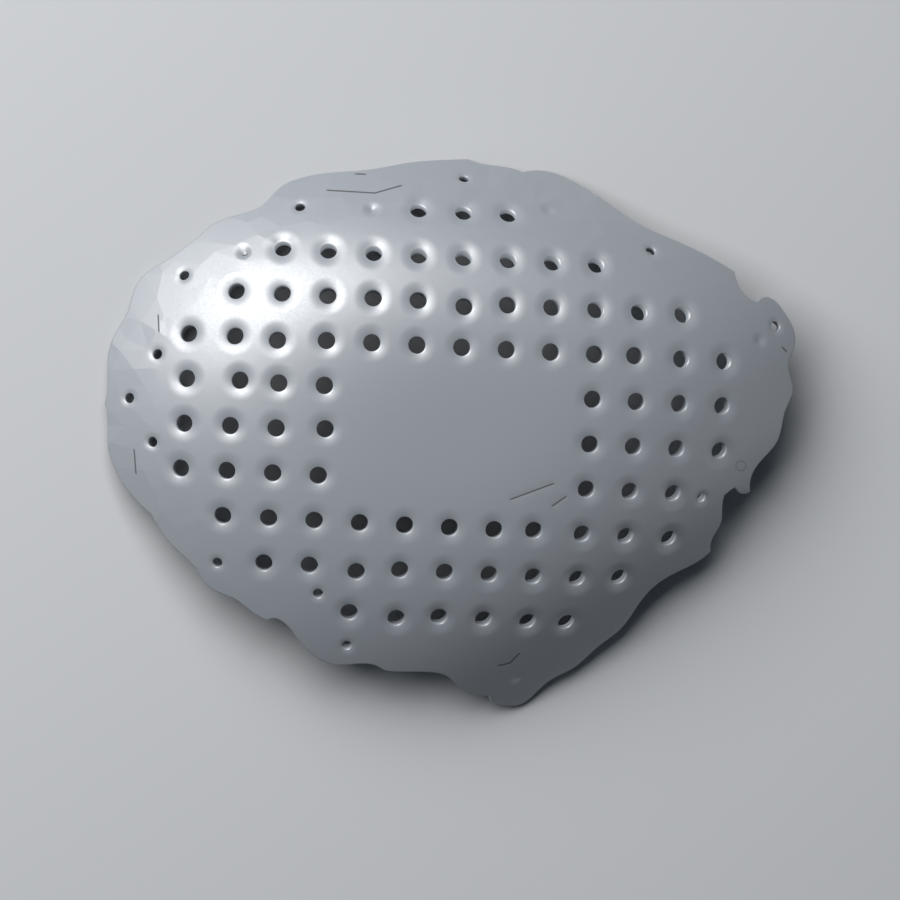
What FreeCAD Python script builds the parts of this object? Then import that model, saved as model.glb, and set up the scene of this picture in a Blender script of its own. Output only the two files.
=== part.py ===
import FreeCAD, Part
import itertools
import math
import os

# Cranioplasty implant: one domed plate, cast or printed in one piece, that closes an opening
# in the skull. It is drilled all over on a square grid, apart from a plain field in the
# middle, and has fixation holes for bone screws along its margin.
#
# The plan frame has X along the plate, Y across it and Z out of the crown. The outer face is
# a formula of x and y, the inner face lies one wall behind it along the normal, and every
# hole is drilled along the normal. The finished plate is then turned onto its rim, hollow
# side down, with the origin under the middle of its box.

Vector = FreeCAD.Vector
PointOnPlan = FreeCAD.Base.Vector2d

SIZES = {
    # plan outline
    "plate_length": 138.4,
    "plate_width": 109.8,
    # outer face
    "dome_half_length": 87.0,
    "dome_half_width": 59.5,
    "dome_depth": 54.0,
    "dome_squareness": 3.44,
    "dome_centre_x": 2.1,
    "dome_centre_y": -0.6,
    "dome_turn": 13.9,
    "dome_taper_length": 245.0,
    "crown_slope_x": -0.109,
    "crown_slope_y": 0.076,
    # wall
    "wall_thickness": 4.0,
    "edge_thickness": 2.0,
    "edge_zone_start": 0.62,
    "edge_zone_end": 0.88,
    # drilled grid
    "column_pitch": 8.96,
    "row_pitch": 9.04,
    "grid_turn": 3.0,
    "grid_centre_x": 2.0,
    "grid_centre_y": 7.5,
    "row_bow": 0.071,
    "column_drift": 0.03,
    "hole_radius": 1.75,
    "flare_width": 1.2,
    "flare_depth": 1.0,
    "hole_land": 1.5,
    "dimple_radius": 1.6,
    "dimple_depth": 0.7,
    # plain field in the middle, not drilled
    "field_length": 49.0,
    "field_width": 25.0,
    "field_centre_x": 1.5,
    "field_centre_y": -1.6,
    # fixation holes
    "screw_hole_radius": 1.05,
    "drill_overrun": 1.5,
    # spacing of the faces' poles
    "pole_spacing": 8.0,
    # spacing of the rim points that the plate may stand on, first over the whole rim and
    # then where it is nearly down
    "rim_step": 6.0,
    "rim_fine_step": 0.75,
}

# The drawing's size, to which the plan coordinates below belong. A longer or wider plate is
# stretched from it as a whole: outline, dome and pattern.
DRAWN_LENGTH = 138.4
DRAWN_WIDTH = 109.8

# Step for slopes by differences, and how near a point counts as on a line.
SLOPE_STEP = 0.01
NEARNESS = 0.01
# Poles that each face has beyond the plate's box.
SPARE_POLES = 2

# The plan outline, clockwise from the left end, as smooth stretches between corners.
OUTLINE = (
    ((-69.2, 5.4), (-68.6, 10.0), (-68.1, 17.0), (-67.2, 19.2), (-64.5, 24.0), (-63.2, 28.4),
     (-62.0, 30.4), (-57.0, 34.0), (-53.2, 36.6), (-48.5, 40.6)),
    ((-48.5, 40.6), (-42.5, 43.2), (-37.5, 45.2), (-35.0, 47.8), (-31.8, 50.0)),
    ((-31.8, 50.0), (-26.2, 51.4), (-15.4, 52.4), (-8.8, 53.6), (-2.0, 54.2), (3.6, 54.4)),
    ((3.6, 54.4), (7.0, 53.4), (12.2, 52.6), (14.6, 51.8)),
    ((14.6, 51.8), (19.2, 52.0), (26.4, 49.0), (33.0, 44.6), (36.8, 42.0), (45.8, 37.8),
     (52.2, 34.7), (57.0, 31.8)),
    ((57.0, 31.8), (57.6, 29.6), (59.3, 27.0), (61.5, 25.8)),
    ((61.5, 25.8), (63.1, 26.8), (64.5, 26.4), (66.9, 23.8), (69.0, 19.8), (69.2, 17.9),
     (68.0, 14.3)),
    ((68.0, 14.3), (68.1, 11.1), (68.8, 8.4), (67.3, 4.0), (66.6, 1.0), (65.6, -2.4),
     (62.8, -5.8), (60.2, -12.5)),
    ((60.2, -12.5), (58.5, -12.9), (57.0, -11.6)),
    ((57.0, -11.6), (55.0, -13.2)),
    ((55.0, -13.2), (54.6, -15.7), (54.4, -18.5), (52.4, -22.4), (52.3, -24.4)),
    ((52.3, -24.4), (51.1, -25.5), (47.2, -27.8), (41.4, -31.1)),
    ((41.4, -31.1), (38.0, -34.8), (34.4, -39.8), (29.5, -43.7), (24.9, -47.7), (19.6, -50.6),
     (16.4, -53.6), (14.2, -55.1), (10.4, -55.1), (8.2, -54.6)),
    ((8.2, -54.6), (8.0, -53.2)),
    ((8.0, -53.2), (6.1, -53.3), (2.4, -52.0), (-0.2, -49.6), (-4.0, -48.6), (-13.2, -48.2)),
    ((-13.2, -48.2), (-15.8, -47.0), (-23.6, -47.0), (-25.8, -46.2), (-30.6, -41.8),
     (-33.6, -38.4), (-35.2, -37.8), (-36.6, -38.2)),
    ((-36.6, -38.2), (-39.0, -37.0), (-43.0, -34.0), (-48.4, -31.4), (-51.0, -27.8),
     (-55.8, -23.0), (-58.2, -19.8), (-59.8, -17.0)),
    ((-59.8, -17.0), (-61.0, -16.0), (-67.0, -8.2), (-68.6, -3.0), (-68.6, 0.4), (-69.2, 5.4)),
)

# The drilled grid, top row first: "o" is a hole, unless it falls in the plain field. Row 0 is
# the fifth line and column 0 the seventh letter, and they cross at the grid's centre.
TOP_ROW = 4
LEFT_COLUMN = -6
HOLE_ROWS = (
    ".....ooo.....",
    "..oooooooo...",
    ".ooooooooooo.",
    "ooooooooooooo",
    "ooooooooooooo",
    "ooooooooooooo",
    "oooooooooooo.",
    ".ooooooooooo.",
    "..ooooooooo..",
    "....oooooo...",
)

# Holes that lie off their grid site, by row and column.
HOLE_SHIFTS = {
    (2, 0): (0.2, -0.8),
    (1, -4): (-0.7, -0.4),
    (1, 4): (-0.7, 0.2),
    (0, -5): (1.4, 0.1),
    (-1, -3): (0.7, 0.3),
    (-3, 2): (-0.9, 0.3),
    (-4, -2): (0.3, -0.8),
    (-4, 4): (-0.3, 0.8),
    (-5, -1): (0.4, -0.7),
    (-5, 3): (-1.1, 0.3),
}

# The fixation holes' places in the plan, clockwise from the top.
SCREW_SITES = (
    (2.8, 50.4),
    (40.2, 35.9),
    (65.2, 20.8),
    (50.4, -13.7),
    (-20.6, -43.2),
    (-26.4, -32.8),
    (-46.6, -26.6),
    (-59.6, -2.4),
    (-64.2, 6.4),
    (-58.6, 15.2),
    (-53.2, 31.0),
    (-30.0, 44.7),
)

# Dimples, where a hole was marked near the edge and not drilled.
DIMPLE_SITES = (
    (-15.6, 44.2),
    (19.7, 44.0),
    (62.0, 18.0),
    (13.2, -49.8),
    (-41.6, 36.4),
)


def make_size_sheet(doc):
    """Puts every driving size in a cell of its own, with its name as alias."""
    sheet = doc.addObject("Spreadsheet::Sheet", "sizes")
    for row, (name, value) in enumerate(SIZES.items(), start=1):
        sheet.set("A%d" % row, name)
        sheet.set("B%d" % row, str(value))
        sheet.setAlias("B%d" % row, name)
    doc.recompute()
    return sheet


def plan_scale(sheet):
    return sheet.plate_length / DRAWN_LENGTH, sheet.plate_width / DRAWN_WIDTH


class Dome:
    """The outer face as a height over the plan, with its normal and the wall behind it."""

    def __init__(self, sheet):
        self.sheet = sheet
        self.scale_x, self.scale_y = plan_scale(sheet)
        turn = math.radians(sheet.dome_turn)
        self.cos_turn = math.cos(turn)
        self.sin_turn = math.sin(turn)

    def radius(self, x, y):
        """Distance from the dome's centre, 1 on its egg-shaped guide line."""
        across = x / self.scale_x - self.sheet.dome_centre_x
        along = y / self.scale_y - self.sheet.dome_centre_y
        u = across * self.cos_turn + along * self.sin_turn
        v = along * self.cos_turn - across * self.sin_turn
        half_width = self.sheet.dome_half_width * (1 - u / self.sheet.dome_taper_length)
        return math.hypot(u / self.sheet.dome_half_length, v / half_width)

    def height(self, x, y):
        """Nearly flat at the crown, then falling like a bowl's side."""
        power = self.sheet.dome_squareness
        fall = (1 + self.radius(x, y) ** power) ** (2 / power) - 1
        lean_x = self.sheet.crown_slope_x * x / self.scale_x
        lean_y = self.sheet.crown_slope_y * y / self.scale_y
        return lean_x + lean_y - self.sheet.dome_depth * fall

    def normal(self, x, y):
        reach = SLOPE_STEP
        slope_x = (self.height(x + reach, y) - self.height(x - reach, y)) / (2 * reach)
        slope_y = (self.height(x, y + reach) - self.height(x, y - reach)) / (2 * reach)
        return Vector(-slope_x, -slope_y, 1).normalize()

    def wall(self, x, y):
        """Full thickness inside, eased down to the edge thickness in the edge zone."""
        start = self.sheet.edge_zone_start
        span = self.sheet.edge_zone_end - start
        share = min(1.0, max(0.0, (self.radius(x, y) - start) / span))
        eased = share * share * (3 - 2 * share)
        loss = self.sheet.wall_thickness - self.sheet.edge_thickness
        return self.sheet.wall_thickness - loss * eased

    def outer_point(self, x, y):
        return Vector(x, y, self.height(x, y))

    def inner_point(self, x, y):
        return self.outer_point(x, y) - self.normal(x, y) * self.wall(x, y)


def smooth_face(point_at, sheet):
    """A cubic face through point_at(x, y), whose own two parameters are x and y.

    A pole is 8/6 of the point there less 1/6 of each neighbour, in both directions, which
    follows a smooth function to the fourth order of the spacing.
    """
    spacing = sheet.pole_spacing
    weights = ((-1, -1 / 6), (0, 8 / 6), (1, -1 / 6))
    count_x = math.ceil(0.5 * sheet.plate_length / spacing) + SPARE_POLES
    count_y = math.ceil(0.5 * sheet.plate_width / spacing) + SPARE_POLES
    poles = []
    for column in range(-count_x, count_x + 1):
        poles.append([])
        for row in range(-count_y, count_y + 1):
            pole = Vector()
            for (dx, weight_x), (dy, weight_y) in itertools.product(weights, repeat=2):
                x = (column + dx) * spacing
                y = (row + dy) * spacing
                pole += point_at(x, y) * (weight_x * weight_y)
            poles[-1].append(pole)
    knots_x = [spacing * step for step in range(-count_x - 2, count_x + 3)]
    knots_y = [spacing * step for step in range(-count_y - 2, count_y + 3)]
    face = Part.BSplineSurface()
    face.buildFromPolesMultsKnots(
        poles, [1] * len(knots_x), [1] * len(knots_y), knots_x, knots_y, False, False, 3, 3)
    limit_x = spacing * (count_x - 1)
    limit_y = spacing * (count_y - 1)
    face.segment(-limit_x, limit_x, -limit_y, limit_y)
    return face


def outline_curves(sheet):
    """The plan outline as one curve for each stretch, smooth inside it."""
    scale_x, scale_y = plan_scale(sheet)
    curves = []
    for stretch in OUTLINE:
        curve = Part.Geom2d.BSplineCurve2d()
        curve.interpolate([PointOnPlan(x * scale_x, y * scale_y) for x, y in stretch])
        curves.append(curve)
    return curves


def make_blank(doc, sheet, dome):
    """The undrilled plate: outer and inner face, and a rim square to both."""
    outer_face = smooth_face(dome.outer_point, sheet)
    inner_face = smooth_face(dome.inner_point, sheet)
    curves = outline_curves(sheet)
    outer_edges = [curve.toShape(outer_face) for curve in curves]
    inner_edges = [curve.toShape(inner_face) for curve in curves]
    faces = [
        Part.Face(outer_face, Part.Wire(outer_edges)),
        Part.Face(inner_face, Part.Wire(inner_edges)),
    ]
    for outer_edge, inner_edge in zip(outer_edges, inner_edges):
        faces.append(Part.makeRuledSurface(outer_edge, inner_edge))
    shell = Part.makeShell(faces)
    shell.sewShape()
    blank = doc.addObject("Part::Feature", "plate_blank")
    blank.Shape = Part.makeSolid(shell)
    return blank


def make_hole_drill(doc):
    """Shank and flare of one hole, with the outer face at z = 0."""
    shank = doc.addObject("Part::Cylinder", "hole_shank")
    shank.setExpression("Radius", "sizes.hole_radius")
    shank.setExpression("Height", "sizes.wall_thickness + 2 * sizes.drill_overrun")
    shank.setExpression("Placement.Base.z", "-sizes.wall_thickness - sizes.drill_overrun")
    flare = doc.addObject("Part::Cone", "hole_flare")
    flare.setExpression("Radius1", "sizes.hole_radius")
    flare.setExpression(
        "Radius2",
        "sizes.hole_radius + sizes.flare_width * (1 + sizes.drill_overrun / sizes.flare_depth)")
    flare.setExpression("Height", "sizes.flare_depth + sizes.drill_overrun")
    flare.setExpression("Placement.Base.z", "-sizes.flare_depth")
    drill = doc.addObject("Part::Fuse", "hole_drill")
    drill.Base = shank
    drill.Tool = flare
    return drill


def make_screw_drill(doc):
    """A plain shank for a fixation hole, with the outer face at z = 0."""
    drill = doc.addObject("Part::Cylinder", "screw_drill")
    drill.setExpression("Radius", "sizes.screw_hole_radius")
    drill.setExpression("Height", "sizes.wall_thickness + 2 * sizes.drill_overrun")
    drill.setExpression("Placement.Base.z", "-sizes.wall_thickness - sizes.drill_overrun")
    return drill


def make_dimple_drill(doc):
    """The cone that marks a site too near the edge to be drilled through."""
    drill = doc.addObject("Part::Cone", "dimple_drill")
    drill.Radius1 = 0
    drill.setExpression(
        "Radius2", "sizes.dimple_radius * (1 + sizes.drill_overrun / sizes.dimple_depth)")
    drill.setExpression("Height", "sizes.dimple_depth + sizes.drill_overrun")
    drill.setExpression("Placement.Base.z", "-sizes.dimple_depth")
    return drill


def on_grid(sheet, row, column):
    """Place of a grid site on the drawing.

    Rows away from the middle one shift to the left, and the columns lie wider apart on the
    left than on the right.
    """
    turn = math.radians(sheet.grid_turn)
    drift = column * column * sheet.column_drift + row * row * sheet.row_bow
    u = column * sheet.column_pitch - drift
    v = row * sheet.row_pitch
    shift_x, shift_y = HOLE_SHIFTS.get((row, column), (0, 0))
    x = sheet.grid_centre_x + u * math.cos(turn) + v * math.sin(turn) + shift_x
    y = sheet.grid_centre_y - u * math.sin(turn) + v * math.cos(turn) + shift_y
    return x, y


def in_plain_field(sheet, x, y):
    turn = math.radians(sheet.grid_turn)
    across = x - sheet.field_centre_x
    along = y - sheet.field_centre_y
    u = across * math.cos(turn) - along * math.sin(turn)
    v = across * math.sin(turn) + along * math.cos(turn)
    return abs(u) < sheet.field_length / 2 and abs(v) < sheet.field_width / 2


def plan_sites(sheet, sites):
    """Places on the drawing, stretched to the plate's plan."""
    scale_x, scale_y = plan_scale(sheet)
    return [(x * scale_x, y * scale_y) for x, y in sites]


def hole_sites(sheet):
    """The drilled sites of the grid whose flare keeps its land to rim and screw holes."""
    drilled = []
    for line, marks in enumerate(HOLE_ROWS):
        for place, mark in enumerate(marks):
            site = on_grid(sheet, TOP_ROW - line, LEFT_COLUMN + place)
            if mark == "o" and not in_plain_field(sheet, *site):
                drilled.append(site)
    flat_wire = Part.Wire([curve.toShape() for curve in outline_curves(sheet)])
    flat_plate = Part.Face(flat_wire)
    screws = plan_sites(sheet, SCREW_SITES)
    least = sheet.hole_radius + sheet.flare_width + sheet.hole_land
    sites = []
    for x, y in plan_sites(sheet, drilled):
        spot = Vector(x, y, 0)
        land = flat_wire.distToShape(Part.Vertex(spot))[0]
        gap = min(math.hypot(x - a, y - b) for a, b in screws) - sheet.screw_hole_radius
        if flat_plate.isInside(spot, NEARNESS, True) and land > least and gap > least:
            sites.append((x, y))
    return sites


def drilled_at(sites, drill, dome):
    """Copies of a drill, each on the outer face and along its normal."""
    tools = []
    for x, y in sites:
        seat = FreeCAD.Placement(
            dome.outer_point(x, y), FreeCAD.Rotation(Vector(0, 0, 1), dome.normal(x, y)))
        tool = drill.Shape.copy()
        tool.Placement = seat.multiply(tool.Placement)
        tools.append(tool)
    return tools


def make_pattern(doc, sheet, dome, hole_drill, screw_drill, dimple_drill):
    """All the drills in their places, as one compound for a single cut."""
    holes = hole_sites(sheet)
    tools = drilled_at(holes, hole_drill, dome)
    tools += drilled_at(plan_sites(sheet, SCREW_SITES), screw_drill, dome)
    tools += drilled_at(plan_sites(sheet, DIMPLE_SITES), dimple_drill, dome)
    pattern = doc.addObject("Part::Feature", "drilled_pattern")
    pattern.Shape = Part.makeCompound(tools)
    print("holes drilled:", len(holes))
    return pattern


def rim_points(dome, sheet, spacing):
    """Points along the inner edge of the rim, on which the plate can stand."""
    points = []
    for curve in outline_curves(sheet):
        for spot in curve.toShape().discretize(Distance=spacing)[:-1]:
            points.append(dome.inner_point(spot.x, spot.y))
    return points


def surrounds(corners, centre, up):
    """True where the centre lies over the triangle, seen along up."""
    sides = []
    for start, end in zip(corners, corners[1:] + corners[:1]):
        sides.append((end - start).cross(centre - start).dot(up))
    return min(sides) > 0 or max(sides) < 0


def resting_rotation(points, centre):
    """Turns the three rim points that carry the plate into a level plane."""
    for corners in itertools.combinations(points, 3):
        up = (corners[1] - corners[0]).cross(corners[2] - corners[0]).normalize()
        if up.z < 0:
            up = -up
        carried = all((point - corners[0]).dot(up) > -1e-6 for point in points)
        if carried and surrounds(list(corners), centre, up):
            return FreeCAD.Rotation(up, Vector(0, 0, 1))
    raise RuntimeError("the plate finds no rest on its rim")


def lay_down(plate, dome, sheet):
    """Turns the plate onto its rim and centres its box over the origin.

    Widely spaced rim points give the rest nearly, and close ones near its level, taken with
    them, give it exactly.
    """
    centre = plate.Shape.CenterOfGravity
    spaced = rim_points(dome, sheet, sheet.rim_step)
    turned = resting_rotation(spaced, centre)
    close = rim_points(dome, sheet, sheet.rim_fine_step)
    level = min(turned.multVec(point).z for point in close) + sheet.rim_fine_step
    low = [point for point in close if turned.multVec(point).z < level]
    high = [point for point in spaced if turned.multVec(point).z >= level]
    turned = resting_rotation(low + high, centre)
    plate.Placement = FreeCAD.Placement(Vector(), turned)
    box = plate.Shape.optimalBoundingBox(False, False)
    plate.Placement = FreeCAD.Placement(Vector(-box.Center.x, -box.Center.y, -box.ZMin), turned)


def check_document(doc, kept):
    for item in doc.Objects:
        if "Invalid" in item.State or "Error" in item.State:
            raise RuntimeError("%s failed: %s" % (item.Label, item.State))
    for item in kept:
        if item.Shape.isNull() or not item.Shape.isValid():
            raise RuntimeError("%s has no valid shape" % item.Label)


def main():
    doc = FreeCAD.newDocument("cranioplasty_implant")
    sheet = make_size_sheet(doc)
    dome = Dome(sheet)
    blank = make_blank(doc, sheet, dome)
    drills = (make_hole_drill(doc), make_screw_drill(doc), make_dimple_drill(doc))
    doc.recompute()
    pattern = make_pattern(doc, sheet, dome, *drills)
    plate = doc.addObject("Part::Cut", "implant_plate")
    plate.Base = blank
    plate.Tool = pattern
    plate.Label = "implant_plate"
    doc.recompute()
    lay_down(plate, dome, sheet)
    check_document(doc, [plate])
    os.makedirs("parts", exist_ok=True)
    plate.Shape.exportStep("parts/%s.step" % plate.Label)
    print("volume %.0f mm3, solids %d" % (plate.Shape.Volume, len(plate.Shape.Solids)))
    print("box", plate.Shape.optimalBoundingBox(False, False))


main()
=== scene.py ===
import math

import bpy
import numpy as np
from mathutils import Matrix, Vector, geometry


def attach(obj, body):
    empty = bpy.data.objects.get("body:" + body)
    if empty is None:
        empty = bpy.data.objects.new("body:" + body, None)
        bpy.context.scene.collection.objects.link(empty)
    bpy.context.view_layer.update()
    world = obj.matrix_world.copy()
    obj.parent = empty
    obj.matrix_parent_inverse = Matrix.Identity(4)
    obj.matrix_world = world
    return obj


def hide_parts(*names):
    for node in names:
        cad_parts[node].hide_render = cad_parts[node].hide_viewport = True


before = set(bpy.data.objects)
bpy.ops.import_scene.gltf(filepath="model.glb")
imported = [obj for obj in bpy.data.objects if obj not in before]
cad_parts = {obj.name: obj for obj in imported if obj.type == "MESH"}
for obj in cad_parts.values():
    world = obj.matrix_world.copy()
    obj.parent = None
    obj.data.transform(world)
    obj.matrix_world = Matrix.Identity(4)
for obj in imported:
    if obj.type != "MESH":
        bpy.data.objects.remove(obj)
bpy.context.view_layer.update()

# Everything is worked out in millimetres in the plan frame: X along the plate, Y across it
# and Z out of the crown. A place on the plan is one complex number, x + iy.
mm = 0.001

plate = {
    # outer face: a bowl turned over
    "halfLength": 87.0,
    "halfWidth": 59.5,
    "depth": 54.0,
    "squareness": 3.44,
    "centre": 2.1 - 0.6j,
    "turn": 13.9,
    "taperLength": 245.0,
    "slope": (-0.109, 0.076),
    # wall, and the dome radii between which it thins
    "wall": 4.0,
    "edgeWall": 2.0,
    "edgeZone": (0.62, 0.88),
    # rim rounding, and mesh spacing along the rim and over the faces
    "rimRound": 0.3,
    "rimRows": 4,
    "rimStep": 0.6,
    "spacing": 1.25,
    # rest on the rim: a lean about a level line, and where the plan's origin goes
    "lean": 10.3925,
    "leanAbout": (-0.28163, -0.95952, 0.0),
    "origin": (-2.3991, 1.6334, 23.1150),
}

# The plan outline, clockwise from the left end, as smooth stretches between corners.
outline = (
    ((-69.2, 5.4), (-68.6, 10.0), (-68.1, 17.0), (-67.2, 19.2), (-64.5, 24.0), (-63.2, 28.4),
     (-62.0, 30.4), (-57.0, 34.0), (-53.2, 36.6), (-48.5, 40.6)),
    ((-48.5, 40.6), (-42.5, 43.2), (-37.5, 45.2), (-35.0, 47.8), (-31.8, 50.0)),
    ((-31.8, 50.0), (-26.2, 51.4), (-15.4, 52.4), (-8.8, 53.6), (-2.0, 54.2), (3.6, 54.4)),
    ((3.6, 54.4), (7.0, 53.4), (12.2, 52.6), (14.6, 51.8)),
    ((14.6, 51.8), (19.2, 52.0), (26.4, 49.0), (33.0, 44.6), (36.8, 42.0), (45.8, 37.8),
     (52.2, 34.7), (57.0, 31.8)),
    ((57.0, 31.8), (57.6, 29.6), (59.3, 27.0), (61.5, 25.8)),
    ((61.5, 25.8), (63.1, 26.8), (64.5, 26.4), (66.9, 23.8), (69.0, 19.8), (69.2, 17.9),
     (68.0, 14.3)),
    ((68.0, 14.3), (68.1, 11.1), (68.8, 8.4), (67.3, 4.0), (66.6, 1.0), (65.6, -2.4),
     (62.8, -5.8), (60.2, -12.5)),
    ((60.2, -12.5), (58.5, -12.9), (57.0, -11.6)),
    ((57.0, -11.6), (55.0, -13.2)),
    ((55.0, -13.2), (54.6, -15.7), (54.4, -18.5), (52.4, -22.4), (52.3, -24.4)),
    ((52.3, -24.4), (51.1, -25.5), (47.2, -27.8), (41.4, -31.1)),
    ((41.4, -31.1), (38.0, -34.8), (34.4, -39.8), (29.5, -43.7), (24.9, -47.7), (19.6, -50.6),
     (16.4, -53.6), (14.2, -55.1), (10.4, -55.1), (8.2, -54.6)),
    ((8.2, -54.6), (8.0, -53.2)),
    ((8.0, -53.2), (6.1, -53.3), (2.4, -52.0), (-0.2, -49.6), (-4.0, -48.6), (-13.2, -48.2)),
    ((-13.2, -48.2), (-15.8, -47.0), (-23.6, -47.0), (-25.8, -46.2), (-30.6, -41.8),
     (-33.6, -38.4), (-35.2, -37.8), (-36.6, -38.2)),
    ((-36.6, -38.2), (-39.0, -37.0), (-43.0, -34.0), (-48.4, -31.4), (-51.0, -27.8),
     (-55.8, -23.0), (-58.2, -19.8), (-59.8, -17.0)),
    ((-59.8, -17.0), (-61.0, -16.0), (-67.0, -8.2), (-68.6, -3.0), (-68.6, 0.4), (-69.2, 5.4)),
)

gridHoles = {
    "radius": 1.75,
    "flareWidth": 2.1,
    "flareDepth": 0.27,
    # rounding of the inner mouths, at the lower right and at the upper left
    "innerRound": (1.7, 0.5),
    # on the steep slope the normals of walls thinner than this keep this share of their lean
    "easedWall": 5.0,
    "leanOnSlope": 0.5,
    "segments": 40,
    "ringPlaces": 30,
    # grid, with row 0 and column 0 crossing at its centre
    "pitch": (8.96, 9.04),
    "turn": 3.0,
    "centre": 2.0 + 7.5j,
    "rowBow": 0.071,
    "columnDrift": 0.03,
    # top row first, "o" for a hole, unless it falls in the plain field
    "topRow": 4,
    "leftColumn": -6,
    "rows": (
        ".....ooo.....",
        "..oooooooo...",
        ".ooooooooooo.",
        "ooooooooooooo",
        "ooooooooooooo",
        "ooooooooooooo",
        "oooooooooooo.",
        ".ooooooooooo.",
        "..ooooooooo..",
        "....oooooo...",
    ),
    "plainField": (1.5 - 1.6j, 49.0, 25.0),
    # holes that lie off their grid site, by row and column
    "shifts": {
        (2, 0): 0.2 - 0.8j, (1, -4): -0.7 - 0.4j, (1, 4): -0.7 + 0.2j, (0, -5): 1.4 + 0.1j,
        (-1, -3): 0.7 + 0.3j, (-3, 2): -0.9 + 0.3j, (-4, -2): 0.3 - 0.8j, (-4, 4): -0.3 + 0.8j,
        (-5, -1): 0.4 - 0.7j, (-5, 3): -1.1 + 0.3j,
    },
}

screwHoles = {
    "radius": 1.05,
    "flareWidth": 1.1,
    "flareDepth": 0.14,
    "innerRound": (1.6, 0.85),
    "easedWall": 2.5,
    "leanOnSlope": 0.75,
    "segments": 28,
    "ringPlaces": 20,
    "sites": (
        2.8 + 50.4j, 40.2 + 35.9j, 65.2 + 20.8j, 50.4 - 13.7j, -20.6 - 43.2j, -26.4 - 32.8j,
        -46.6 - 26.6j, -59.6 - 2.4j, -64.2 + 6.4j, -58.6 + 15.2j, -53.2 + 31.0j, -30.0 + 44.7j,
    ),
}

# What both kinds of hole share. Their inner mouths are rounder or less round towards one side
# of the plate, and by no more than a share of the wall.
drilling = {
    "roundTowards": -0.35 + 0.94j,
    "roundOver": 70.0,
    "roundLimit": 0.45,
    "flareRows": (0.8, 0.6, 0.4, 0.2),
    "roundAngles": (22, 45, 68),
    # degrees that the normals lean towards the hole's axis, from the mouth down the wall
    "wallLean": (20, 60, 95, 125, 140),
    # the slope on which they lean less: the normal's part to the top, and this share of its
    # part to the right, from the first value to the second
    "rightShare": 0.9,
    "slopes": (0.22, 0.42),
}

dimples = {
    "sites": (-15.6 + 44.2j, 19.7 + 44.0j, 62.0 + 18.0j, 13.2 - 49.8j, -41.0 + 35.3j),
    "radius": (2.2, 2.0, 2.0, 1.9, 1.75),
    "depth": (0.7, 0.3, 0.35, 0.4, 0.9),
    # how far each one is drawn out to one side
    "skew": (0, 0, 0, 0, -0.26 + 0.34j),
    "power": 1.6,
    # rings of mesh places, by share of the radius
    "rings": (0.15, 0.3, 0.45, 0.6, 0.75, 0.9, 1.05, 1.25, 1.45, 1.65),
    # places on a ring of no width, and how many more at a share of 1
    "ringPlaces": (6, 22),
}

# shallow grooves, whose colour the material paints near black as painted shade
scribedLines = {
    "halfWidth": 0.2,
    "depth": 0.03,
    "step": 0.5,
    "lines": (
        (-25.0 + 48.0j, -15.0 + 47.4j, -9.4 + 49.0j),
        (-19.2 + 51.25j, -16.6 + 51.15j),
        (-58.4 + 23.4j, -58.2 + 19.4j),
        (-63.2 - 3.6j, -62.8 - 9.0j),
        (9.4 - 47.2j, 12.0 - 46.6j, 14.2 - 44.4j),
        (11.8 - 14.0j, 21.0 - 10.6j),
        (20.2 - 15.4j, 23.5 - 13.1j),
        (66.2 + 16.8j, 67.6 + 15.4j),
        # this dash lies in the dimple at -41.0 + 35.3j; its near-black colour is painted shade
        # standing in for a dark opening
        (-41.7 + 35.1j, -40.4 + 35.5j),
    ),
    "ring": (58.2 - 7.2j, 1.0),
    "ringSteps": 20,
    "ringStrength": 0.25,
}

# Flat facets along the margin, left by the digital model that the plate was made from.
facets = {
    "pitch": 4.4,
    "jitter": 0.33,
    "unevenness": 0.08,
    # how far the shading goes from that of the smooth dome to that of the flat facets
    "strength": 0.7,
    # widest where the plan lies this way from its centre, and gone on the other side
    "towards": -0.6 + 0.8j,
    "sideStart": 0.6,
    "sideOver": 75.0,
    "width": 8.0,
    "fadeOver": 5.0,
    "leastShare": 0.05,
    # mesh places along each of their edges
    "edgePlaces": 7,
    "seed": 11,
}

# distances that keep the places of the mesh apart
apart = {
    "facetFromFirm": 0.45,
    "facetFromDimple": 2.6,
    "ringFromMouth": 0.45,
    "ringFromScrew": 0.4,
    "looseFromFixed": 0.3,
    "latticeShare": 0.62,
}
# places worked out at once, to spare memory
blockSize = 400


def smoothStep(share):
    # 0 below 0, 1 above 1, and 3t² - 2t³ between
    share = np.clip(share, 0, 1)
    return share * share * (3 - 2 * share)


def domeRadius(plan):
    # distance from the dome's centre in its own turned axes, 1 on an egg-shaped guide line
    turned = (plan - plate["centre"]) * np.exp(-1j * math.radians(plate["turn"]))
    halfWidth = plate["halfWidth"] * (1 - turned.real / plate["taperLength"])
    return np.hypot(turned.real / plate["halfLength"], turned.imag / halfWidth)


def domeHeight(plan):
    # lean of the crown, less depth times ((1 + radius^p)^(2/p) - 1)
    power = plate["squareness"]
    fall = (1 + domeRadius(plan) ** power) ** (2 / power) - 1
    leanX, leanY = plate["slope"]
    return leanX * plan.real + leanY * plan.imag - plate["depth"] * fall


def domeNormal(plan):
    # (-slope along x, -slope along y, 1) made one long, slopes by central differences
    step = 0.01
    slopeX = (domeHeight(plan + step) - domeHeight(plan - step)) / (2 * step)
    slopeY = (domeHeight(plan + 1j * step) - domeHeight(plan - 1j * step)) / (2 * step)
    normal = np.stack([-slopeX, -slopeY, np.ones_like(slopeX)], -1)
    return normal / np.linalg.norm(normal, axis=-1, keepdims=True)


def innerFace(plan):
    # the smooth outer face, less its normal times the wall there
    start, end = plate["edgeZone"]
    loss = (plate["wall"] - plate["edgeWall"]) * smoothStep(
        (domeRadius(plan) - start) / (end - start))
    smooth = np.stack([plan.real, plan.imag, domeHeight(plan)], -1)
    return smooth - domeNormal(plan) * (plate["wall"] - loss)[..., None]


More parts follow.
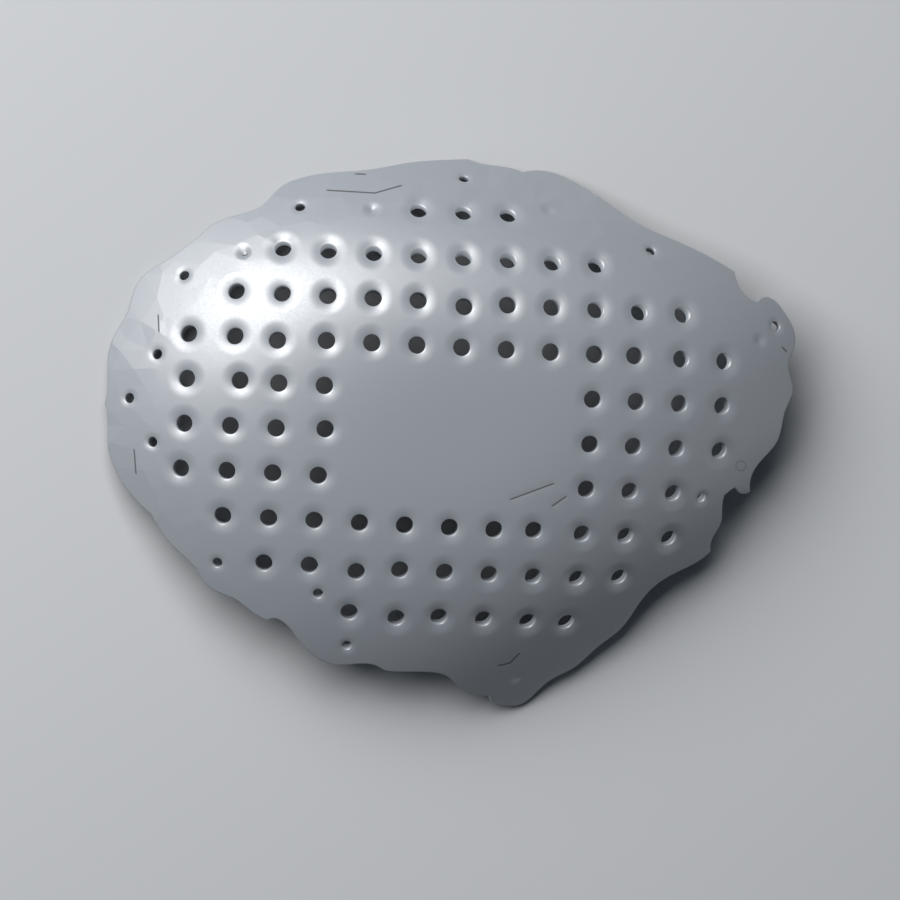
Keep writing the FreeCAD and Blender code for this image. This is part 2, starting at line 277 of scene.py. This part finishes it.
def nearest(places, targets):
    # smallest distance from each place to any target
    flat = np.ravel(places)
    blocks = np.array_split(flat, len(flat) // blockSize + 1)
    found = [np.abs(block[:, None] - targets).min(1) for block in blocks]
    return np.concatenate(found).reshape(np.shape(places))


def endSlope(lengths, places):
    # slope at the first of up to four knots of the polynomial through them
    powers = np.vander(lengths - lengths[0], increasing=True)
    return np.linalg.solve(powers, places)[1]


def smoothStretch(knots, step):
    # A cubic through the knots by chord length, each pair of spans sharing slope and
    # curvature, as places about one step apart without the last knot.
    places = np.array(knots) @ (1, 1j)
    lengths = np.append(0, np.cumsum(np.abs(np.diff(places))))
    spans = np.diff(lengths)
    rises = np.diff(places) / spans
    system = np.eye(len(places), dtype=complex)
    inner = np.arange(1, len(places) - 1)
    system[inner, inner - 1] = spans[1:]
    system[inner, inner] = 2 * (spans[1:] + spans[:-1])
    system[inner, inner + 1] = spans[:-1]
    wanted = np.zeros(len(places), dtype=complex)
    wanted[inner] = 3 * (spans[1:] * rises[:-1] + spans[:-1] * rises[1:])
    wanted[0] = endSlope(lengths[:4], places[:4])
    wanted[-1] = endSlope(lengths[:-5:-1], places[:-5:-1])
    slopes = np.linalg.solve(system, wanted)
    at = np.linspace(0, lengths[-1], max(2, round(lengths[-1] / step)) + 1)[:-1]
    span = np.searchsorted(lengths, at, side="right") - 1
    t = (at - lengths[span]) / spans[span]
    start = (1 + 2 * t) * (1 - t) ** 2 * places[span] + t * t * (3 - 2 * t) * places[span + 1]
    bend = t * (1 - t) ** 2 * slopes[span] - t * t * (1 - t) * slopes[span + 1]
    return start + spans[span] * bend


def gridSites():
    # column times pitch less the squared drifts, turned about the grid's centre
    pitchX, pitchY = gridHoles["pitch"]
    turn = np.exp(-1j * math.radians(gridHoles["turn"]))
    fieldCentre, fieldLength, fieldWidth = gridHoles["plainField"]
    sites = []
    for line, marks in enumerate(gridHoles["rows"]):
        row = gridHoles["topRow"] - line
        for place, mark in enumerate(marks):
            column = gridHoles["leftColumn"] + place
            drift = column ** 2 * gridHoles["columnDrift"] + row ** 2 * gridHoles["rowBow"]
            site = (column * pitchX - drift + 1j * row * pitchY) * turn
            site += gridHoles["centre"] + gridHoles["shifts"].get((row, column), 0)
            inField = (site - fieldCentre) / turn
            plain = abs(inField.real) < fieldLength / 2 and abs(inField.imag) < fieldWidth / 2
            if mark == "o" and not plain:
                sites.append(site)
    return np.array(sites)


def meshPlan(places, edges):
    # constrained Delaunay triangles over the places
    pairs = [Vector((place.real, place.imag)) for place in places]
    made = geometry.delaunay_2d_cdt(pairs, edges.tolist(), [], 0, 1e-6, False)
    if len(made[0]) != len(places):
        raise RuntimeError("edges of the plan cross, or two of its places meet")
    return np.array(made[1]), np.array(made[2])


def facetNet():
    # triangular lattice over the whole plan, each corner moved at random over the plan and
    # slightly off the dome
    random = np.random.default_rng(facets["seed"])
    columns, rows = np.meshgrid(np.arange(-19, 20), np.arange(-18, 19))
    lattice = (columns + 0.5 * (rows % 2) + 1j * rows * math.sqrt(0.75)).ravel()
    shift = random.uniform(-1, 1, lattice.size) + 1j * random.uniform(-1, 1, lattice.size)
    corners = facets["pitch"] * (lattice + facets["jitter"] * shift)
    heights = domeHeight(corners) + random.normal(0, facets["unevenness"], lattice.size)
    edges, triangles = meshPlan(corners, np.zeros((0, 2), int))
    return corners, heights, edges, triangles


def facetHeight(plan):
    # Height of the flat triangle that a place falls in: p - a = u(b - a) + v(c - a) gives u
    # and v, which are both positive and add up to less than 1 in that triangle alone.
    a, b, c = (netCorners[netTriangles[:, corner]] for corner in range(3))
    heightA, heightB, heightC = (netHeights[netTriangles[:, corner]] for corner in range(3))
    area = ((b - a) * np.conj(c - a)).imag
    flat = np.ravel(plan)
    found = []
    for block in np.array_split(flat, len(flat) // blockSize + 1):
        offset = block[:, None] - a
        u = (offset * np.conj(c - a)).imag / area
        v = -(offset * np.conj(b - a)).imag / area
        chosen = np.minimum(np.minimum(u, v), 1 - u - v).argmax(1)
        row = np.arange(len(block))
        u, v = u[row, chosen], v[row, chosen]
        found.append(
            heightA[chosen] * (1 - u - v) + heightB[chosen] * u + heightC[chosen] * v)
    return np.concatenate(found).reshape(np.shape(plan))


def bandShare(plan):
    # 1 at the margin, 0 inside
    sideways = (plan * np.conj(facets["towards"])).real / facets["sideOver"]
    side = smoothStep(facets["sideStart"] + sideways)
    inward = nearest(plan, edge) - side * facets["width"]
    return side * (1 - smoothStep(inward / facets["fadeOver"]))


def outerFace(plan):
    # the dome, with flat facets in its place along the margin
    smooth = domeHeight(plan)
    height = smooth + bandShare(plan) * (facetHeight(plan) - smooth)
    return np.stack([plan.real, plan.imag, height], -1)


def planOf(points):
    # the place on the plan under each point
    return points[..., 0] + 1j * points[..., 1]


def axesAt(sites):
    # seat on the face, outward normal, and two directions across it
    normal = domeNormal(sites)
    first = np.cross((0, 1, 0), normal)
    first /= np.linalg.norm(first, axis=-1, keepdims=True)
    return outerFace(sites), normal, first, np.cross(normal, first)


def circleRound(sites, radius, segments):
    # radius times (cos, sin) across each site's normal
    angle = np.linspace(0, 2 * math.pi, segments, endpoint=False)
    seat, normal, first, second = axesAt(sites)
    spoke = (np.cos(angle)[:, None] * first[:, None] + np.sin(angle)[:, None] * second[:, None])
    return seat[:, None], normal[:, None], spoke * np.reshape(radius, (-1, 1, 1))


def circleOnFace(sites, radius, segments):
    # the circle moved along the normal until it lies on the outer face, nearer at each pass
    seat, normal, across = circleRound(sites, radius, segments)
    points = seat + across
    for _ in range(4):
        miss = outerFace(planOf(points))[..., 2] - points[..., 2]
        points = points + (miss * normal[..., 2])[..., None] * normal
    return points


def drilled(kind, sites):
    # Mouth on the outer face, wall rows with their normals, and mouth on the inner face, round
    # each site. The flare sinks by depth times (1 - share of its width)^2, the wall is a plain
    # cylinder and its inner edge is a quarter circle. A normal leans towards the hole's axis
    # by more and more degrees down the wall, which shades it as one soft curve, and where it
    # is left at zero the mesh's own one holds. The mouth on the inner face is found in passes,
    # as the plan places whose points below lie on the wanted circle.
    radius, flare, sunk = kind["radius"], kind["flareWidth"], kind["flareDepth"]
    thickness = np.linalg.norm(innerFace(sites) - outerFace(sites), axis=-1)[:, None]
    lowerRight, upperLeft = kind["innerRound"]
    sideways = (sites * np.conj(drilling["roundTowards"])).real / drilling["roundOver"]
    inner = lowerRight + (upperLeft - lowerRight) * smoothStep(0.5 + sideways)[:, None]
    inner = np.minimum(inner, drilling["roundLimit"] * thickness)
    top = circleOnFace(sites, radius + flare, kind["segments"])
    seat, normal, across = circleRound(sites, 1.0, kind["segments"])
    wanted = across * (radius + inner)[..., None]
    plan = planOf(top)
    for _ in range(6):
        offset = innerFace(plan) - seat
        offset = offset - (offset * normal).sum(-1, keepdims=True) * normal
        plan = plan + planOf(wanted - offset)
    bottom = innerFace(plan)
    depthTop = -((top - seat) * normal).sum(-1)
    depthBottom = -((bottom - seat) * normal).sum(-1)
    rows = [(radius + flare * share, depthTop + sunk * (1 - share) ** 2, 0)
            for share in drilling["flareRows"]]
    wallTop, wallBottom = depthTop + sunk, depthBottom - inner
    shares = np.linspace(0, 1, len(drilling["wallLean"]))
    for share, turned in zip(shares, drilling["wallLean"]):
        rows.append((radius, wallTop + (wallBottom - wallTop) * share, turned))
    for angle in np.radians(drilling["roundAngles"]):
        rows.append((radius + inner * (1 - np.cos(angle)),
                     depthBottom - inner * (1 - np.sin(angle)), 0))
    climb = normal[..., 1:2] + drilling["rightShare"] * np.maximum(normal[..., 0:1], 0)
    gentle, steep = drilling["slopes"]
    slope = smoothStep((climb - gentle) / (steep - gentle))
    slope *= thickness[..., None] < kind["easedWall"]
    walls, normals = [], []
    for away, down, turned in rows:
        walls.append(seat + across * np.reshape(away, (-1, 1, 1)) - normal * down[..., None])
        turned = math.radians(turned) * (1 - (1 - kind["leanOnSlope"]) * slope)
        leaning = normal * np.cos(turned) - across * np.sin(turned)
        normals.append(np.where(turned > 0, leaning, 0))
    return top, np.array(walls), np.array(normals), bottom


def chain(first, count):
    # edges between neighbours of a run of places, open at its end
    return np.stack([np.arange(first, first + count - 1), np.arange(first + 1, first + count)], 1)


def loops(first, count, segments):
    # edges of closed rings of the same number of places
    ring = first + np.arange(count * segments).reshape(count, segments)
    return np.stack([ring, np.roll(ring, -1, 1)], -1).reshape(-1, 2)


def bands(rows):
    # Triangles between successive rings of indices, facing the side from which the rings run
    # anticlockwise and the first ring is nearer.
    a, d = rows[:-1], rows[1:]
    b, c = np.roll(a, -1, -1), np.roll(d, -1, -1)
    return np.concatenate([np.stack([a, b, c], -1).reshape(-1, 3),
                           np.stack([a, c, d], -1).reshape(-1, 3)])


def inside(places, border):
    # even-odd rule: a line to the right of a place crosses the border an odd number of times
    start, end = border, np.roll(border, -1)
    above = places[:, None].imag < start.imag
    crosses = above != (places[:, None].imag < end.imag)
    rise = np.where(start.imag == end.imag, 1, end.imag - start.imag)
    at = start.real + (places[:, None].imag - start.imag) / rise * (end.real - start.real)
    return (crosses & (places[:, None].real < at)).sum(1) % 2 == 1


def inMouth(places):
    # True inside the mouth of any hole, tried for the places near it alone
    found = np.zeros(places.size, bool)
    for ring in [*planOf(holeTop), *planOf(screwTop)]:
        close = np.abs(places.ravel() - ring.mean()) < 1.3 * mouthReach
        found[close] |= inside(places.ravel()[close], ring)
    return found.reshape(places.shape)


print("outline and drilled sites")
edge = np.concatenate([smoothStretch(knots, plate["rimStep"]) for knots in outline])[::-1]
along = np.roll(edge, -1) - np.roll(edge, 1)
outward = -1j * along / np.abs(along)
faceEdge = edge - plate["rimRound"] * outward
holeSites = gridSites()
screwSites = np.array(screwHoles["sites"])
netCorners, netHeights, netEdges, netTriangles = facetNet()
mouthReach = gridHoles["radius"] + gridHoles["flareWidth"]
screwReach = screwHoles["radius"] + screwHoles["flareWidth"]
holeTop, holeWalls, holeNormals, holeBottom = drilled(gridHoles, holeSites)
screwTop, screwWalls, screwNormals, screwBottom = drilled(screwHoles, screwSites)
print(len(edge), "rim places,", len(holeSites), "grid holes,", len(screwSites), "screw holes")

print("places of the plan mesh")
parts = [faceEdge, planOf(holeTop).ravel(), planOf(screwTop).ravel()]
edges = [
    loops(0, 1, len(faceEdge)),
    loops(len(faceEdge), len(holeSites), gridHoles["segments"]),
    loops(len(faceEdge) + parts[1].size, len(screwSites), screwHoles["segments"]),
]
placeCount = sum(part.size for part in parts)

# scribed lines: the deepest line and one on each side of it
deepPlaces = []
for line in scribedLines["lines"]:
    run = []
    for start, end in zip(line, line[1:]):
        count = max(2, round(abs(end - start) / scribedLines["step"]))
        run.append(np.linspace(start, end, count, endpoint=False))
    run = np.append(np.concatenate(run), line[-1])
    heading = np.gradient(run)
    side = 1j * heading / np.abs(heading) * scribedLines["halfWidth"]
    for row in (run - side, run, run + side):
        parts.append(row)
        edges.append(chain(placeCount, len(row)))
        placeCount += len(row)
    deepPlaces.append(run[1:-1])
ringCentre, ringRadius = scribedLines["ring"]
ringAngles = np.linspace(0, 2 * math.pi, scribedLines["ringSteps"], endpoint=False)
for radius in ringRadius + scribedLines["halfWidth"] * np.array((-1, 0, 1)):
    row = ringCentre + radius * np.exp(1j * ringAngles)
    parts.append(row)
    edges.append(loops(placeCount, 1, len(row)))
    placeCount += len(row)
    if radius == ringRadius:
        deepPlaces.append(row)
deepPlaces = np.concatenate(deepPlaces)

# edges of the facets, kept off rim, holes and lines
firm = np.concatenate(parts)
bothEnds = netCorners[netEdges]
steps = np.linspace(0, 1, facets["edgePlaces"])[:, None]
onNet = (bothEnds[:, 0] * (1 - steps) + bothEnds[:, 1] * steps).T
keep = inside(onNet.ravel(), edge).reshape(onNet.shape)
keep &= (bandShare(onNet) > facets["leastShare"]) & ~inMouth(onNet)
keep &= nearest(onNet, firm) > apart["facetFromFirm"]
dimpleSites, dimpleRadius = np.array(dimples["sites"]), np.array(dimples["radius"])
keep &= nearest(onNet, dimpleSites) > apart["facetFromDimple"]
_, unique, number = np.unique(np.round(onNet[keep], 6), return_index=True, return_inverse=True)
netPlaces = onNet[keep][unique]
numbers = np.full(onNet.shape, -1)
numbers[keep] = number
pairs = np.stack([numbers[:, :-1], numbers[:, 1:]], -1).reshape(-1, 2)
pairs = pairs[(pairs >= 0).all(1)]
edges.append(pairs + placeCount)
parts.append(netPlaces)

# loose places: a ring outside each mouth, rings over the dimples, and a lattice over the rest
holeRing = circleOnFace(holeSites, mouthReach + apart["ringFromMouth"], gridHoles["ringPlaces"])
screwRing = circleOnFace(
    screwSites, screwReach + apart["ringFromScrew"], screwHoles["ringPlaces"])
free = [planOf(holeRing).ravel(), planOf(screwRing).ravel()]
leastPlaces, morePlaces = dimples["ringPlaces"]
for share in dimples["rings"]:
    count = round(leastPlaces + morePlaces * share)
    free.append(planOf(circleOnFace(dimpleSites, dimpleRadius[:, None] * share, count)).ravel())
loose = np.concatenate(free)
fixed = np.concatenate(parts)
loose = loose[inside(loose, edge) & (nearest(loose, fixed) > apart["looseFromFixed"])]
columns, rows = np.meshgrid(np.arange(-62, 63), np.arange(-56, 57))
lattice = plate["spacing"] * (columns + 0.5 * (rows % 2) + 1j * rows * math.sqrt(0.75)).ravel()
lattice = lattice[inside(lattice, edge)]
settled = np.concatenate([fixed, loose])
lattice = lattice[nearest(lattice, settled) > apart["latticeShare"] * plate["spacing"]]
blank = np.concatenate([loose, lattice])
plan = np.concatenate([fixed, blank[~inMouth(blank)]])
print(len(plan), "places")

# Triangles of the faces, without those across a mouth, whose corners are all on one ring, and
# without those outside the rim, whose corners are all on it.
print("triangles of the faces")
_, triangles = meshPlan(plan, np.concatenate(edges))
ringOf = np.full(len(plan), -1)
holeRings = len(faceEdge) + np.arange(holeTop[..., 0].size).reshape(len(holeSites), -1)
screwRings = holeRings.max() + 1 + np.arange(screwTop[..., 0].size).reshape(len(screwSites), -1)
ringOf[holeRings] = np.arange(len(holeSites))[:, None]
ringOf[screwRings] = len(holeSites) + np.arange(len(screwSites))[:, None]
cornerRing = ringOf[triangles]
overHole = (cornerRing[:, 0] >= 0) & (cornerRing.min(1) == cornerRing.max(1))
triangles = triangles[~overHole]
onRim = (triangles < len(faceEdge)).all(1)
middle = plan[triangles[onRim]].mean(1)
outside = np.zeros(len(triangles), bool)
outside[onRim] = ~inside(middle, faceEdge)
triangles = triangles[~outside]

print("faces, walls and rim")
outer = outerFace(plan)
outer[holeRings] = holeTop
outer[screwRings] = screwTop
normal = domeNormal(plan)
inner = innerFace(plan)
inner[holeRings] = holeBottom
inner[screwRings] = screwBottom
away = np.linalg.norm(outer[:, None] - outerFace(dimpleSites), axis=-1)
away -= ((plan[:, None] - dimpleSites) * np.conj(dimples["skew"])).real
bowl = np.clip(1 - away / dimpleRadius, 0, 1) ** dimples["power"] @ np.array(dimples["depth"])
scribed = 1 - np.clip(nearest(plan, deepPlaces) / (0.9 * scribedLines["halfWidth"]), 0, 1)
scribed[np.abs(plan - ringCentre) < 2 * ringRadius] *= scribedLines["ringStrength"]
outer = outer - normal * (bowl + scribed * scribedLines["depth"])[:, None]

# the rim: a quarter circle off the outer face, a straight wall and a quarter circle back
rimTop, rimBottom = outer[:len(faceEdge)], inner[:len(faceEdge)]
rimAlong = np.roll(rimTop, -1, 0) - np.roll(rimTop, 1, 0)
rimOut = np.cross(rimAlong, normal[:len(faceEdge)])
rimOut /= np.linalg.norm(rimOut, axis=-1, keepdims=True)
rimDown = rimBottom - rimTop
rimDown /= np.linalg.norm(rimDown, axis=-1, keepdims=True)
turns = np.radians(np.linspace(0, 90, plate["rimRows"] + 1)[1:])
sine, cosine = np.sin(turns)[:, None, None], np.cos(turns)[:, None, None]
rimUpper = rimTop + plate["rimRound"] * (rimOut * sine + rimDown * (1 - cosine))
rimLower = rimBottom + plate["rimRound"] * (rimOut * sine - rimDown * (1 - cosine))
rimRows = np.concatenate([rimUpper, rimLower[::-1]])


def numbered(rows, first):
    # numbers for the rows' points, counted on from the first, in the same arrangement
    return first + np.arange(rows[..., 0].size).reshape(rows.shape[:-1])


blocks = (outer, inner, holeWalls, screwWalls, rimRows)
vertices = np.concatenate([block.reshape(-1, 3) for block in blocks])
under = len(plan)
holeNumbers = numbered(holeWalls, 2 * under)
screwNumbers = numbered(screwWalls, holeNumbers.max() + 1)
rimNumbers = numbered(rimRows, screwNumbers.max() + 1)
rimRing = np.arange(len(faceEdge))[None]
faces = np.concatenate([
    triangles,
    triangles[:, ::-1] + under,
    bands(np.concatenate([holeRings[None], holeNumbers, holeRings[None] + under])),
    bands(np.concatenate([screwRings[None], screwNumbers, screwRings[None] + under])),
    bands(np.concatenate([rimRing, rimNumbers, rimRing + under])[:, ::-1]),
])

# Normals at the corners of the faces: those of the drilled walls, for the facets a mix of the
# smooth dome's and the face's own, and zero where the mesh's own hold.
wallNormals = np.zeros_like(vertices)
wallNormals[holeNumbers] = holeNormals
wallNormals[screwNumbers] = screwNormals
cornerNormals = wallNormals[faces]
first, second, third = (outer[triangles[:, corner]] for corner in range(3))
flat = np.cross(second - first, third - first)
flat /= np.linalg.norm(flat, axis=-1, keepdims=True)
weight = facets["strength"] * bandShare(plan)[triangles]
weight[(((bowl + scribed) > 0) | (ringOf >= 0))[triangles].any(1)] = 0
mixed = normal[triangles] + weight[..., None] * (flat[:, None] - normal[triangles])
cornerNormals[:len(triangles)][weight > 0] = mixed[weight > 0]

lean = np.array(Matrix.Rotation(math.radians(plate["lean"]), 3, Vector(plate["leanAbout"])))
placed = (vertices @ lean.T + plate["origin"]) * mm

mesh = bpy.data.meshes.new("skullPlate")
mesh.vertices.add(len(placed))
mesh.vertices.foreach_set("co", placed.astype(np.float32).ravel())
mesh.loops.add(faces.size)
mesh.loops.foreach_set("vertex_index", faces.astype(np.int32).ravel())
mesh.polygons.add(len(faces))
mesh.polygons.foreach_set("loop_start", np.arange(0, faces.size, 3, dtype=np.int32))
mesh.polygons.foreach_set("use_smooth", np.ones(len(faces), bool))
# the scribed lines' mask, which the material also uses to paint shade into the grooves
marks = np.zeros(len(placed), np.float32)
marks[:len(plan)] = scribed
mesh.attributes.new("scribed", "FLOAT", "POINT").data.foreach_set("value", marks)
mesh.update(calc_edges=True)
mesh.validate()
mesh.normals_split_custom_set(cornerNormals.reshape(-1, 3) @ lean.T)
skullPlate = bpy.data.objects.new("skullPlate", mesh)
bpy.context.scene.collection.objects.link(skullPlate)
print(len(placed), "vertices,", len(faces), "triangles")


class Wire:
    # a shader value on which Python's operators add Math nodes

    def __init__(self, paint, socket):
        self.paint = paint
        self.socket = socket

    def maths(self, operation, first, second):
        return self.paint.add("ShaderNodeMath", {"operation": operation}, {0: first, 1: second})

    def __add__(self, other):
        return self.maths("ADD", self, other)

    def __radd__(self, other):
        return self.maths("ADD", other, self)

    def __sub__(self, other):
        return self.maths("SUBTRACT", self, other)

    def __rsub__(self, other):
        return self.maths("SUBTRACT", other, self)

    def __mul__(self, other):
        return self.maths("MULTIPLY", self, other)

    def __rmul__(self, other):
        return self.maths("MULTIPLY", other, self)


class Paint:
    # a new material, and the one way its nodes are added

    def __init__(self, name):
        self.material = bpy.data.materials.new(name)
        self.material.use_nodes = True
        self.tree = self.material.node_tree
        self.tree.nodes.clear()

    def add(self, kind, settings, sockets, output=0):
        node = self.tree.nodes.new(kind)
        for name, value in settings.items():
            setattr(node, name, value)
        for name, value in sockets.items():
            if isinstance(value, Wire):
                self.tree.links.new(value.socket, node.inputs[name])
            else:
                node.inputs[name].default_value = value
        return Wire(self, node.outputs[output]) if node.outputs else node


satin = {
    "light": (0.236, 0.254, 0.279, 1.0),
    "dark": (0.212, 0.230, 0.255, 1.0),
    # painted shade: the near-black colour laid into the scribed lines
    "grooveShadePaint": (0.035, 0.038, 0.043, 1.0),
    "roughness": 0.46,
    "specular": 1.0,
    "refraction": 1.62,
    "cloudScale": 34.0,
    "grainScale": 2300.0,
    "grainDepth": 0.00001,
}


def satinFinish():
    # Cool grey, slightly clouded over a few centimetres, with a grain under half a millimetre
    # that varies gloss and height, and painted shade in the scribed lines: near black and rougher
    # there.
    paint = Paint("satinGrey")
    place = paint.add("ShaderNodeTexCoord", {}, {}, "Object")
    cloud = paint.add("ShaderNodeTexNoise", {}, {
        "Vector": place, "Scale": satin["cloudScale"], "Detail": 3.0, "Roughness": 0.6})
    grain = paint.add("ShaderNodeTexNoise", {}, {
        "Vector": place, "Scale": satin["grainScale"], "Detail": 2.0, "Roughness": 0.55})
    scribedShadeMask = paint.add("ShaderNodeAttribute", {"attribute_name": "scribed"}, {}, "Fac")
    colours = {"data_type": "RGBA"}
    body = paint.add("ShaderNodeMix", colours, {
        0: cloud * 0.8 + grain * 0.2, 6: satin["light"], 7: satin["dark"]}, 2)
    # painted shade: the colour turns near black along the scribed lines
    bodyWithGrooveShade = paint.add("ShaderNodeMix", colours, {
        0: scribedShadeMask * 1.8, 6: body, 7: satin["grooveShadePaint"]}, 2)
    bump = paint.add("ShaderNodeBump", {}, {
        "Height": grain, "Strength": 0.5, "Distance": satin["grainDepth"]})
    shader = paint.add("ShaderNodeBsdfPrincipled", {}, {
        "Base Color": bodyWithGrooveShade,
        "Roughness": satin["roughness"] + (grain - 0.5) * 0.16 + (cloud - 0.5) * 0.1
        + scribedShadeMask * 0.5,
        "Specular IOR Level": satin["specular"],
        "IOR": satin["refraction"],
        "Normal": bump,
    })
    paint.add("ShaderNodeOutputMaterial", {}, {"Surface": shader})
    return paint.material


mesh.materials.append(satinFinish())
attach(skullPlate, "root")
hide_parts("implant_plate")

studio = {
    "floorSize": 8.0,
    "floorColour": (0.50, 0.51, 0.52, 1.0),
    "sky": (0.16, 0.20, 0.25, 1.0),
    "skyStrength": 0.25,
    # towards each lamp in the plan frame, its distance and width in metres, and its watts
    "key": ((-0.355, 0.532, 0.768), 0.9, 0.36, 12.5),
    "floorKey": ((-0.32, 0.48, 0.815), 0.9, 0.9, 14.0),
    "fill": ((0.87, -0.41, 0.12), 0.9, 0.5, 0.9),
    "lampsAim": (0, 0, 0.015),
    # the camera looks straight down on the plan, and takes in this much of it
    "viewCentre": (0.0, -4.0, 0.0),
    "viewWidth": 0.180,
    "cameraDistance": 0.8,
}


def floorFinish():
    # pale, with a faint cloudiness
    paint = Paint("paleFloor")
    place = paint.add("ShaderNodeTexCoord", {}, {}, "Object")
    cloud = paint.add("ShaderNodeTexNoise", {}, {"Vector": place, "Scale": 6.0, "Detail": 2.0})
    shader = paint.add("ShaderNodeBsdfPrincipled", {}, {
        "Base Color": studio["floorColour"], "Roughness": 0.7 + cloud * 0.15})
    paint.add("ShaderNodeOutputMaterial", {}, {"Surface": shader})
    return paint.material


def addLamp(name, settings, lit, casts):
    # a square lamp that looks at the middle of the plate and lights the named things alone
    towards, distance, width, watts = settings
    lamp = bpy.data.lights.new(name, "AREA")
    lamp.shape = "SQUARE"
    lamp.size = width
    lamp.energy = watts
    lamp.use_shadow = casts
    holder = bpy.data.objects.new(name, lamp)
    direction = Vector(lean @ towards).normalized()
    holder.location = Vector(studio["lampsAim"]) + direction * distance
    holder.rotation_euler = direction.to_track_quat("Z", "Y").to_euler()
    holder.visible_camera = False
    bpy.context.scene.collection.objects.link(holder)
    reach = bpy.data.collections.new(name + "Reach")
    for thing in lit:
        reach.objects.link(thing)
    holder.light_linking.receiver_collection = reach


print("floor, lamps and camera")
half = studio["floorSize"] / 2
floorMesh = bpy.data.meshes.new("floor")
floorMesh.from_pydata(
    [(-half, -half, 0), (half, -half, 0), (half, half, 0), (-half, half, 0)], [], [(0, 1, 2, 3)])
floorMesh.materials.append(floorFinish())
floor = bpy.data.objects.new("floor", floorMesh)
bpy.context.scene.collection.objects.link(floor)
addLamp("keyLamp", studio["key"], [skullPlate], False)
addLamp("floorLamp", studio["floorKey"], [floor], True)
addLamp("fillLamp", studio["fill"], [skullPlate], False)

world = bpy.data.worlds.new("studioSky")
world.use_nodes = True
sky = world.node_tree.nodes["Background"]
sky.inputs["Color"].default_value = studio["sky"]
sky.inputs["Strength"].default_value = studio["skyStrength"]
bpy.context.scene.world = world

camera = bpy.data.cameras.new("camera")
camera.type = "ORTHO"
camera.ortho_scale = studio["viewWidth"]
camera.clip_start, camera.clip_end = 0.05, 20
cameraHolder = bpy.data.objects.new("camera", camera)
lookAt = (lean @ studio["viewCentre"] + plate["origin"]) * mm
turned = Matrix(lean.tolist()).to_4x4()
cameraHolder.matrix_world = Matrix.Translation(
    lookAt + lean[:, 2] * studio["cameraDistance"]) @ turned
bpy.context.scene.collection.objects.link(cameraHolder)
bpy.context.scene.camera = cameraHolder
bpy.context.scene.view_settings.view_transform = "Standard"
